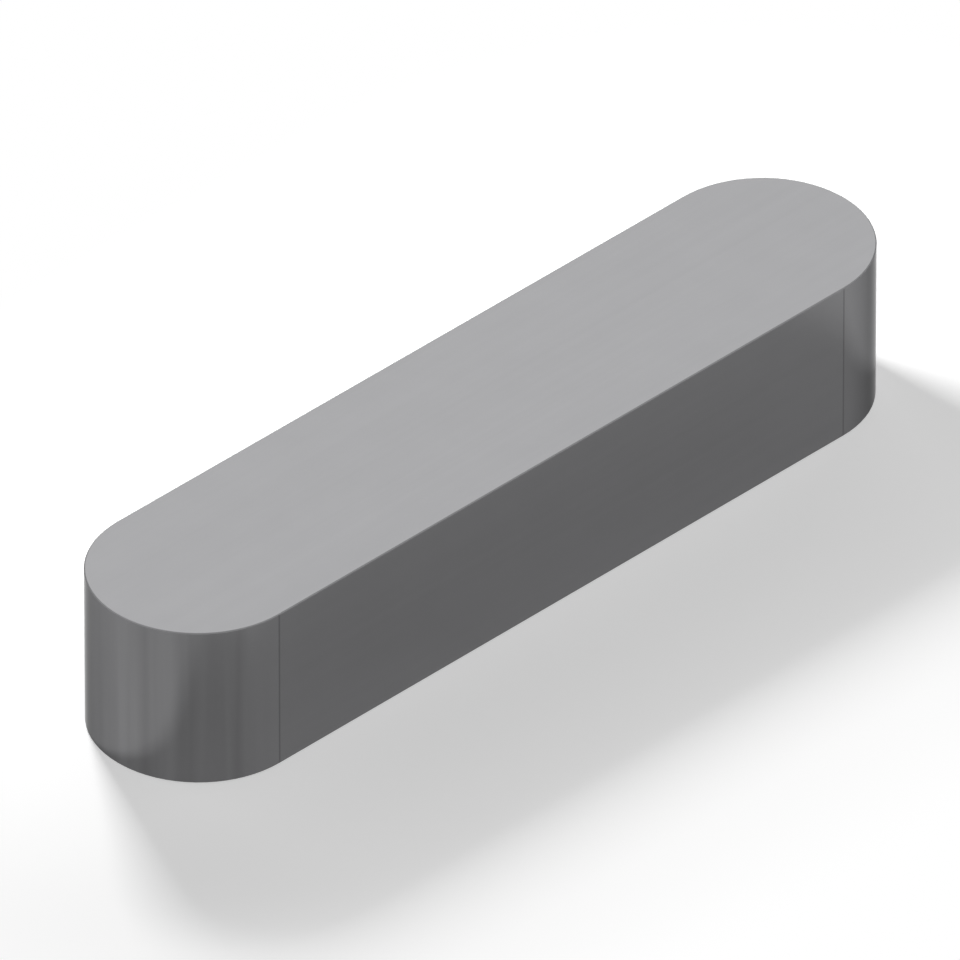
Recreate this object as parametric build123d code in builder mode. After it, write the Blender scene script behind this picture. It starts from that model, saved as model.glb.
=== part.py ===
from build123d import *
import os

# Parallel key with two round ends, which locks a hub to a shaft.
#
# It is one piece of bright key steel. Two long flanks lie flat and parallel, and each end is
# milled to a full half round that runs into them with no step. The lower half of the key lies
# in the keyway of the shaft, the upper half stands in the keyway of the hub, and the flanks
# carry the torque from one to the other.
#
# The origin is the centre of the bottom face, which rests on the floor of the shaft's keyway.
# +X runs along the key, +Y across it from flank to flank, and +Z up towards the hub.

# Driving dimensions, in millimetres
key_width = 10.0  # from flank to flank, and the diameter of both round ends
key_height = 8.0  # from the face on the shaft to the face under the hub
key_length = 45.0  # overall, from the tip of one round end to the tip of the other
edge_break = 0.05  # leg of the 45 degree break round the bottom and top faces

os.makedirs("parts", exist_ok=True)

with BuildPart() as key:
    # The plan: two straight flanks, joined at each end by a half circle tangent to both.
    with BuildSketch(Plane.XY):
        SlotOverall(key_length, key_width)
    extrude(amount=key_height)

    # The edges round the bottom and the top face are broken, flanks and round ends alike.
    edges_by_height = key.edges().group_by(Axis.Z)
    chamfer(edges_by_height[0] + edges_by_height[-1], length=edge_break)

key.part.label = "key"
export_step(key.part, "parts/key.step")
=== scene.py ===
import math
from typing import NamedTuple

import bpy
from bpy.props import FloatProperty, FloatVectorProperty, PointerProperty
from bpy.types import NodeSocket, Operator, Panel, PropertyGroup
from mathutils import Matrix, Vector


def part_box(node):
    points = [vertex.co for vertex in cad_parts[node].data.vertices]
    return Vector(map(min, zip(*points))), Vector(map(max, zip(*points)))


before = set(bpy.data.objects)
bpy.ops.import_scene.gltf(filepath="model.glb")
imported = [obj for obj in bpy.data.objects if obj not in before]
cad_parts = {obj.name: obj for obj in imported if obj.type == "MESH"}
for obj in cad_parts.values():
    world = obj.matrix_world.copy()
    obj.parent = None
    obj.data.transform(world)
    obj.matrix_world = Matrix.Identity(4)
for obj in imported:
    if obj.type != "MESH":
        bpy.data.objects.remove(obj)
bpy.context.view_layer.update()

bl_info = {
    "name": "Parallel Key",
    "version": (1, 0, 0),
    "blender": (4, 5, 0),
    "location": "3D View > Sidebar > Parallel Key",
    "description": "Gives a round-ended parallel key its drawn and milled steel, and sets its studio",
    "category": "Object",
}

MM = 0.001  # metres in a millimetre
PER_MM = 1000.0  # turns metres into millimetres

# The key, read from the frame. +X runs along it, +Y from flank to flank, +Z up from its seat.
KEY_LOW, KEY_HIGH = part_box("key")
KEY_CENTRE = (KEY_LOW + KEY_HIGH) / 2
KEY_LENGTH, KEY_WIDTH, KEY_HEIGHT = KEY_HIGH - KEY_LOW
END_RADIUS = KEY_WIDTH / 2
FLANK_END = KEY_LENGTH / 2 - END_RADIUS  # where each flank runs into its round end
EDGE_BREAK = 0.05 * MM  # leg of the 45 degree break round the top and bottom faces


# Sizes and colours to change


class KeySteelSettings(PropertyGroup):
    """The finish of the key's steel."""

    colour: FloatVectorProperty(
        name="Steel colour",
        description="Reflection colour of the steel, straight on",
        subtype="COLOR",
        size=3,
        min=0.0,
        max=1.0,
        default=(0.215, 0.215, 0.22),
    )
    drawn_roughness: FloatProperty(
        name="Drawn roughness",
        description="Mean roughness of the drawn flanks and faces",
        subtype="FACTOR",
        min=0.05,
        max=1.0,
        default=0.2,
    )
    milled_roughness: FloatProperty(
        name="Milled roughness",
        description="Mean roughness of the milled round ends",
        subtype="FACTOR",
        min=0.05,
        max=1.0,
        default=0.18,
    )
    edge_roughness: FloatProperty(
        name="Edge roughness",
        description="Roughness of the filed break round the top and bottom faces",
        subtype="FACTOR",
        min=0.05,
        max=1.0,
        default=0.6,
    )
    line_depth: FloatProperty(
        name="Line depth",
        description="Depth of the lines that the drawing die left along the bar",
        subtype="DISTANCE",
        unit="LENGTH",
        min=0.0,
        max=0.05 * MM,
        precision=6,
        default=0.0003 * MM,
    )
    cut_depth: FloatProperty(
        name="Cut depth",
        description="Depth of the marks that the cutter left down the round ends",
        subtype="DISTANCE",
        unit="LENGTH",
        min=0.0,
        max=0.05 * MM,
        precision=6,
        default=0.006 * MM,
    )


class KeyStudioSettings(PropertyGroup):
    """The floor and the lamps."""

    floor_colour: FloatVectorProperty(
        name="Floor colour",
        description="Colour of the pale floor under the key",
        subtype="COLOR",
        size=3,
        min=0.0,
        max=1.0,
        default=(0.8, 0.8, 0.8),
    )
    back_light: FloatProperty(
        name="Back light",
        description="Radiance of the small lamp close behind the key, which throws its shadow",
        min=0.0,
        soft_max=200.0,
        default=69.0,
    )
    top_light: FloatProperty(
        name="Top light",
        description="Radiance of the soft panel that the top face mirrors",
        min=0.0,
        soft_max=5.0,
        default=1.03,
    )
    side_light: FloatProperty(
        name="Side light",
        description="Radiance of the two soft panels at the sides",
        min=0.0,
        soft_max=5.0,
        default=0.6,
    )


# Shader nodes


class NodeBuilder:
    """Adds nodes to one tree. Each input takes either a value or another node's output."""

    def __init__(self, owner):
        owner.use_nodes = True
        self.tree = owner.node_tree
        self.tree.nodes.clear()

    def add(self, kind, inputs=None, **settings):
        node = self.tree.nodes.new(kind)
        for name, value in settings.items():
            setattr(node, name, value)
        for name, value in (inputs or {}).items():
            self.feed(node.inputs[name], value)
        return node

    def feed(self, socket, value):
        if isinstance(value, NodeSocket):
            self.tree.links.new(value, socket)
        else:
            socket.default_value = value

    def math(self, operation, *values):
        node = self.add("ShaderNodeMath", operation=operation)
        for socket, value in zip(node.inputs, values):
            self.feed(socket, value)
        return node.outputs["Value"]

    def ramp(self, value, low, high, start=0.0, end=1.0, kind="SMOOTHSTEP"):
        """Runs from start to end as value goes from low to high, and stays there beyond them."""
        inputs = {"Value": value, "From Min": low, "From Max": high, "To Min": start, "To Max": end}
        return self.add("ShaderNodeMapRange", inputs, interpolation_type=kind).outputs["Result"]

    def vector(self, x, y, z):
        return self.add("ShaderNodeCombineXYZ", {"X": x, "Y": y, "Z": z}).outputs["Vector"]

    def noise(self, vector, scale=1.0, detail=1.0):
        inputs = {"Vector": vector, "Scale": scale, "Detail": detail}
        return self.add("ShaderNodeTexNoise", inputs).outputs["Fac"]

    def blend(self, factor, first, second):
        """The first number where factor is 0, and the second where it is 1."""
        inputs = {"Factor": factor, "A": first, "B": second}
        return self.add("ShaderNodeMix", inputs, data_type="FLOAT").outputs["Result"]

    def place_mm(self):
        """The point on the object in millimetres, whole and as x, y and z."""
        metres = self.add("ShaderNodeTexCoord").outputs["Object"]
        scaled = self.add("ShaderNodeVectorMath", {0: metres, "Scale": PER_MM}, operation="SCALE")
        point = scaled.outputs["Vector"]
        parts = self.add("ShaderNodeSeparateXYZ", {"Vector": point}).outputs
        return point, parts["X"], parts["Y"], parts["Z"]

    def past_flank(self, x):
        """How far x lies beyond the end of the flanks, in millimetres: above 0 on the round ends."""
        return self.math("SUBTRACT", self.math("ABSOLUTE", x), FLANK_END * PER_MM)


# The key's steel


# How close the marks lie, in cycles a millimetre
DRAWN_STRETCH = 0.03  # the die's lines, along the bar
DRAWN_PITCH = 2.2  # and across it
CUT_STRETCH = 0.08  # the cutter's marks, down the wall
CUT_PITCH = 2.4  # and round it, for the fine marks
CUT_BAND = 1.0  # and for the broad bands, each a few passes of the cutter wide
MOTTLE_PITCH = 0.45  # the faint cloudiness of the whole surface
MOTTLE_DETAIL = 3.0  # octaves of noise in it
END_APART = 40.0  # how far to each side in the noise the two ends lie, so that their marks differ

# The values between which nearly all of a noise lies
NOISE_ENDS = (0.2, 0.8)  # one plain noise
MIXED_NOISE_ENDS = (0.3, 0.7)  # two noises blended, or one of several octaves

# How much the marks change the steel. A tone is a share of the steel's own colour.
BAND_SHARE = 0.7  # share of the broad bands in the cutter's marks, beside the fine ones
ROUGHNESS_SPREAD = 0.008  # most that a mark adds to the roughness or takes from it
DRAWN_TONE = (0.98, 1.02)  # darkest and lightest line of the die
CUT_MARK_AND_SHADE_TONE = (0.74, 0.93)  # darkest and lightest mark of the cutter; both lie well under 1, so the round ends are also darker overall than the flanks, which is painted shade
CUT_MARK_AND_SHADE_FADE = 2.5  # millimetres past the end of the flank over which the cutter's tone and the ends' painted shade set in
MOTTLE_TONE = (0.99, 1.01)  # darkest and lightest patch of the cloudiness
LINE_FADE = (0.03, 0.06)  # millimetres from the middle of the witness line, between which it fades
LINE_TONE = 0.72  # the witness line, where the cutter ran out on to the flank
EDGE_TINT = 0.47  # how bright the steel is edge on, as a share of a plain metal
BREAK_SKIN = 0.05  # share of the edge break, at its top and at its foot, taken as face and wall


def drawn_lines(nodes, x, y, z):
    """Lines left by the drawing die, long and thin along the bar."""
    along = nodes.math("MULTIPLY", x, DRAWN_STRETCH)
    across = nodes.math("MULTIPLY", y, DRAWN_PITCH)
    up = nodes.math("MULTIPLY", z, DRAWN_PITCH)
    return nodes.noise(nodes.vector(along, across, up))


def cutter_marks(nodes, x, y, z, past_flank):
    """Marks left by the cutter that rounded the ends, straight down the wall."""
    angle = nodes.math("ARCTAN2", y, past_flank)
    arc = nodes.math("MULTIPLY", angle, END_RADIUS * PER_MM)
    end = nodes.math("MULTIPLY", nodes.math("SIGN", x), END_APART)
    down = nodes.math("MULTIPLY", z, CUT_STRETCH)
    fine_round = nodes.math("MULTIPLY", arc, CUT_PITCH)
    fine = nodes.noise(nodes.vector(fine_round, end, down))
    band_round = nodes.math("MULTIPLY", arc, CUT_BAND)
    band = nodes.noise(nodes.vector(band_round, end, 0.0))
    return nodes.blend(BAND_SHARE, fine, band)


def key_steel(settings):
    """Bright drawn steel: fine lines along the bar, cutter marks and painted shade down the round
    ends.
    """
    material = bpy.data.materials.new("bright_key_steel")
    nodes = NodeBuilder(material)
    point, x, y, z = nodes.place_mm()

    # Where each finish lies: 1 on the walls, on the filed break, on the round ends, on the line.
    half_height = KEY_HEIGHT / 2 * PER_MM
    edge_break = EDGE_BREAK * PER_MM
    from_middle = nodes.math("ABSOLUTE", nodes.math("SUBTRACT", z, half_height))
    on_wall = nodes.math("LESS_THAN", from_middle, half_height - (1 - BREAK_SKIN) * edge_break)
    off_face = nodes.math("LESS_THAN", from_middle, half_height - BREAK_SKIN * edge_break)
    on_break = nodes.math("SUBTRACT", off_face, on_wall)
    past_flank = nodes.past_flank(x)
    on_round_end = nodes.math("MULTIPLY", on_wall, nodes.ramp(past_flank, -LINE_FADE[0], LINE_FADE[0]))
    from_line = nodes.math("ABSOLUTE", past_flank)
    on_line = nodes.math("MULTIPLY", on_wall, nodes.ramp(from_line, *LINE_FADE, 1.0, 0.0))

    drawn = drawn_lines(nodes, x, y, z)
    milled = cutter_marks(nodes, x, y, z, past_flank)
    marks = nodes.blend(on_round_end, drawn, milled)
    mottle = nodes.noise(point, scale=MOTTLE_PITCH, detail=MOTTLE_DETAIL)

    mean = nodes.blend(on_round_end, settings.drawn_roughness, settings.milled_roughness)
    spread = nodes.ramp(marks, *NOISE_ENDS, -ROUGHNESS_SPREAD, ROUGHNESS_SPREAD, "LINEAR")
    roughness = nodes.blend(on_break, nodes.math("ADD", mean, spread), settings.edge_roughness)

    drawn_tone = nodes.ramp(drawn, *NOISE_ENDS, *DRAWN_TONE, "LINEAR")
    # The round ends' colour: random cutter marks, and darker overall than the flanks as painted shade.
    full_cut_and_shade_tone = nodes.ramp(milled, *MIXED_NOISE_ENDS, *CUT_MARK_AND_SHADE_TONE, "LINEAR")
    cut_and_shade_tone = nodes.blend(nodes.ramp(past_flank, 0.0, CUT_MARK_AND_SHADE_FADE), 1.0, full_cut_and_shade_tone)
    mottle_tone = nodes.ramp(mottle, *MIXED_NOISE_ENDS, *MOTTLE_TONE, "LINEAR")
    tone = nodes.math("MULTIPLY", nodes.blend(on_round_end, drawn_tone, cut_and_shade_tone), mottle_tone)
    tone = nodes.math("MULTIPLY", tone, nodes.blend(on_line, 1.0, LINE_TONE))
    straight_on = tuple(settings.colour)
    colour = nodes.add("ShaderNodeVectorMath", {0: straight_on, "Scale": tone}, operation="SCALE")

    depth = nodes.blend(on_round_end, settings.line_depth, settings.cut_depth)
    height = nodes.math("MULTIPLY", marks, depth)
    bump = nodes.add("ShaderNodeBump", {"Strength": 1.0, "Distance": 1.0, "Height": height})
    steel = nodes.add("ShaderNodeBsdfPrincipled", {
        "Base Color": colour.outputs["Vector"],
        "Metallic": 1.0,
        "Roughness": roughness,
        "Specular Tint": (EDGE_TINT, EDGE_TINT, EDGE_TINT, 1.0),
        "Normal": bump.outputs["Normal"],
    })
    nodes.add("ShaderNodeOutputMaterial", {"Surface": steel.outputs["BSDF"]})
    return material


class PARALLEL_KEY_OT_finish_key(Operator):
    """Gives the key its steel"""

    bl_idname = "parallel_key.finish_key"
    bl_label = "Finish Key"

    def execute(self, context):
        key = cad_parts["key"]
        key.material_slots[0].material = key_steel(context.scene.key_steel)
        return {"FINISHED"}


# The studio


FLOOR_HALF = 4.0  # metres from the key to each side of the floor
FLOOR_DROP = 0.00002  # metres that the floor lies under the key's seat
FLOOR_GLOW = 0.48  # white that the floor shows beside the key, on top of its lit colour
SHADE_ENDS = (8.0, 24.0)  # millimetres from the key's walls over which the floor turns white
WHITE = (1.0, 1.0, 1.0, 1.0)


def white_to_the_eye(nodes):
    """1 for rays from the camera, a mirror or clear glass, 0 for those that carry light about."""
    rays = nodes.add("ShaderNodeLightPath").outputs
    seen = nodes.math("MAXIMUM", rays["Is Camera Ray"], rays["Is Glossy Ray"])
    return nodes.math("MAXIMUM", seen, rays["Is Transmission Ray"])


def studio_world():
    """Air that is seen as white and lights nothing, so that the lamps do all the lighting."""
    world = bpy.data.worlds.new("studio_air")
    bpy.context.scene.world = world
    nodes = NodeBuilder(world)
    air = nodes.add("ShaderNodeBackground", {"Color": WHITE, "Strength": white_to_the_eye(nodes)})
    nodes.add("ShaderNodeOutputWorld", {"Surface": air.outputs["Background"]})


def pale_floor(settings):
    """Matt and pale under the key, where it takes the shadow, and plain white farther out."""
    material = bpy.data.materials.new("pale_floor")
    nodes = NodeBuilder(material)
    _, x, y, _ = nodes.place_mm()
    beyond = nodes.math("MAXIMUM", nodes.past_flank(x), 0.0)
    outward = nodes.vector(beyond, y, 0.0)
    from_spine = nodes.add("ShaderNodeVectorMath", {0: outward}, operation="LENGTH")
    from_wall = nodes.math("SUBTRACT", from_spine.outputs["Value"], END_RADIUS * PER_MM)

    seen = white_to_the_eye(nodes)
    matt = nodes.add("ShaderNodeBsdfDiffuse", {"Color": (*settings.floor_colour, 1.0)})
    glow_strength = nodes.math("MULTIPLY", seen, FLOOR_GLOW)
    glow = nodes.add("ShaderNodeEmission", {"Color": WHITE, "Strength": glow_strength})
    near = nodes.add("ShaderNodeAddShader", {0: matt.outputs["BSDF"], 1: glow.outputs["Emission"]})
    far = nodes.add("ShaderNodeEmission", {"Color": WHITE, "Strength": 1.0})
    how_far = nodes.math("MULTIPLY", seen, nodes.ramp(from_wall, *SHADE_ENDS))
    both = {0: how_far, 1: near.outputs["Shader"], 2: far.outputs["Emission"]}
    surface = nodes.add("ShaderNodeMixShader", both).outputs["Shader"]
    nodes.add("ShaderNodeOutputMaterial", {"Surface": surface})
    return material


def studio_floor(settings):
    mesh = bpy.data.meshes.new("floor")
    sides = ((-1, -1), (1, -1), (1, 1), (-1, 1))
    corners = [(x * FLOOR_HALF, y * FLOOR_HALF, 0.0) for x, y in sides]
    mesh.from_pydata(corners, [], [(0, 1, 2, 3)])
    mesh.materials.append(pale_floor(settings))
    floor = bpy.data.objects.new("floor", mesh)
    floor.location.z = KEY_LOW.z - FLOOR_DROP
    bpy.context.scene.collection.objects.link(floor)


def direction(azimuth, elevation):
    """The direction from the key at those degrees, azimuth counted from +X towards +Y."""
    turn = math.radians(azimuth)
    rise = math.radians(elevation)
    return Vector((math.cos(turn) * math.cos(rise), math.sin(turn) * math.cos(rise), math.sin(rise)))


class LampPlace(NamedTuple):
    """Where a lamp hangs and how large it looks, seen from the key."""

    azimuth: float  # degrees
    elevation: float  # degrees
    width: float  # degrees
    height: float  # degrees
    distance: float  # metres


# The back lamp is near, so the key's shadow spreads as it leaves the key.
BACK_LAMP = LampPlace(azimuth=77.0, elevation=36.0, width=14.0, height=12.0, distance=0.075)
TOP_PANEL = LampPlace(azimuth=45.0, elevation=35.0, width=36.0, height=26.0, distance=6.0)
LEFT_PANEL = LampPlace(azimuth=135.0, elevation=35.0, width=60.0, height=40.0, distance=6.0)
RIGHT_PANEL = LampPlace(azimuth=315.0, elevation=35.0, width=60.0, height=40.0, distance=6.0)


def soft_lamp(name, place, radiance, mirrored=True):
    """An oblong area lamp that faces the key and shows it that radiance.

    Where mirrored is False it still lights everything, but no reflection shows it.
    """
    lamp = bpy.data.lights.new(name, "AREA")
    lamp.shape = "RECTANGLE"
    lamp.size = 2.0 * place.distance * math.tan(math.radians(place.width / 2))
    lamp.size_y = 2.0 * place.distance * math.tan(math.radians(place.height / 2))
    lamp.energy = radiance * math.pi * lamp.size * lamp.size_y
    holder = bpy.data.objects.new(name, lamp)
    towards = direction(place.azimuth, place.elevation)
    holder.location = KEY_CENTRE + towards * place.distance
    holder.rotation_euler = towards.to_track_quat("Z", "Y").to_euler()
    holder.visible_camera = False
    holder.visible_glossy = mirrored
    bpy.context.scene.collection.objects.link(holder)


# The camera looks along the corner of a cube, as an isometric drawing does, from far off with a
# long lens, so that the key's edges stay all but parallel.
CAMERA_TOWARDS = (225.0, 35.264)  # azimuth and elevation of the camera from the key, in degrees
CAMERA_LENS = 1600.0  # millimetres
CAMERA_SENSOR = 36.0  # millimetres
CAMERA_CLIP = (0.1, 10.0)  # metres
VIEW_WIDTH = 42.12 * MM  # what the camera sees from side to side at the key
AIM_OFF_CENTRE = Vector((-0.084, 0.064, -0.086)) * MM  # from the key's centre to the view's middle


def studio_camera():
    camera = bpy.data.cameras.new("long_lens_camera")
    camera.lens = CAMERA_LENS
    camera.sensor_width = CAMERA_SENSOR
    camera.clip_start, camera.clip_end = CAMERA_CLIP
    back = direction(*CAMERA_TOWARDS)
    holder = bpy.data.objects.new("long_lens_camera", camera)
    distance = VIEW_WIDTH * CAMERA_LENS / CAMERA_SENSOR
    holder.location = KEY_CENTRE + AIM_OFF_CENTRE + back * distance
    holder.rotation_euler = back.to_track_quat("Z", "Y").to_euler()
    bpy.context.scene.collection.objects.link(holder)
    bpy.context.scene.camera = holder


class PARALLEL_KEY_OT_set_studio(Operator):
    """Lays the pale floor, hangs the soft lamps and sets the camera"""

    bl_idname = "parallel_key.set_studio"
    bl_label = "Set Studio"

    def execute(self, context):
        settings = context.scene.key_studio
        context.scene.view_settings.view_transform = "Standard"
        studio_world()
        studio_floor(settings)
        soft_lamp("back_lamp", BACK_LAMP, settings.back_light, mirrored=False)
        soft_lamp("top_panel", TOP_PANEL, settings.top_light)
        soft_lamp("left_panel", LEFT_PANEL, settings.side_light)
        soft_lamp("right_panel", RIGHT_PANEL, settings.side_light)
        studio_camera()
        return {"FINISHED"}


class PARALLEL_KEY_PT_sidebar(Panel):
    """Lists the steps and the settings"""

    bl_label = "Parallel Key"
    bl_space_type = "VIEW_3D"
    bl_region_type = "UI"
    bl_category = "Parallel Key"

    def draw(self, context):
        for settings, operator in (
            (context.scene.key_steel, PARALLEL_KEY_OT_finish_key),
            (context.scene.key_studio, PARALLEL_KEY_OT_set_studio),
        ):
            box = self.layout.box()
            for name in settings.__annotations__:
                box.prop(settings, name)
            box.operator(operator.bl_idname)


CLASSES = (
    KeySteelSettings,
    KeyStudioSettings,
    PARALLEL_KEY_OT_finish_key,
    PARALLEL_KEY_OT_set_studio,
    PARALLEL_KEY_PT_sidebar,
)


def register():
    for cls in CLASSES:
        bpy.utils.register_class(cls)
    bpy.types.Scene.key_steel = PointerProperty(type=KeySteelSettings)
    bpy.types.Scene.key_studio = PointerProperty(type=KeyStudioSettings)


def unregister():
    del bpy.types.Scene.key_studio
    del bpy.types.Scene.key_steel
    for cls in reversed(CLASSES):
        bpy.utils.unregister_class(cls)


def main():
    register()
    bpy.ops.parallel_key.finish_key()
    bpy.ops.parallel_key.set_studio()


if __name__ == "__main__":
    main()
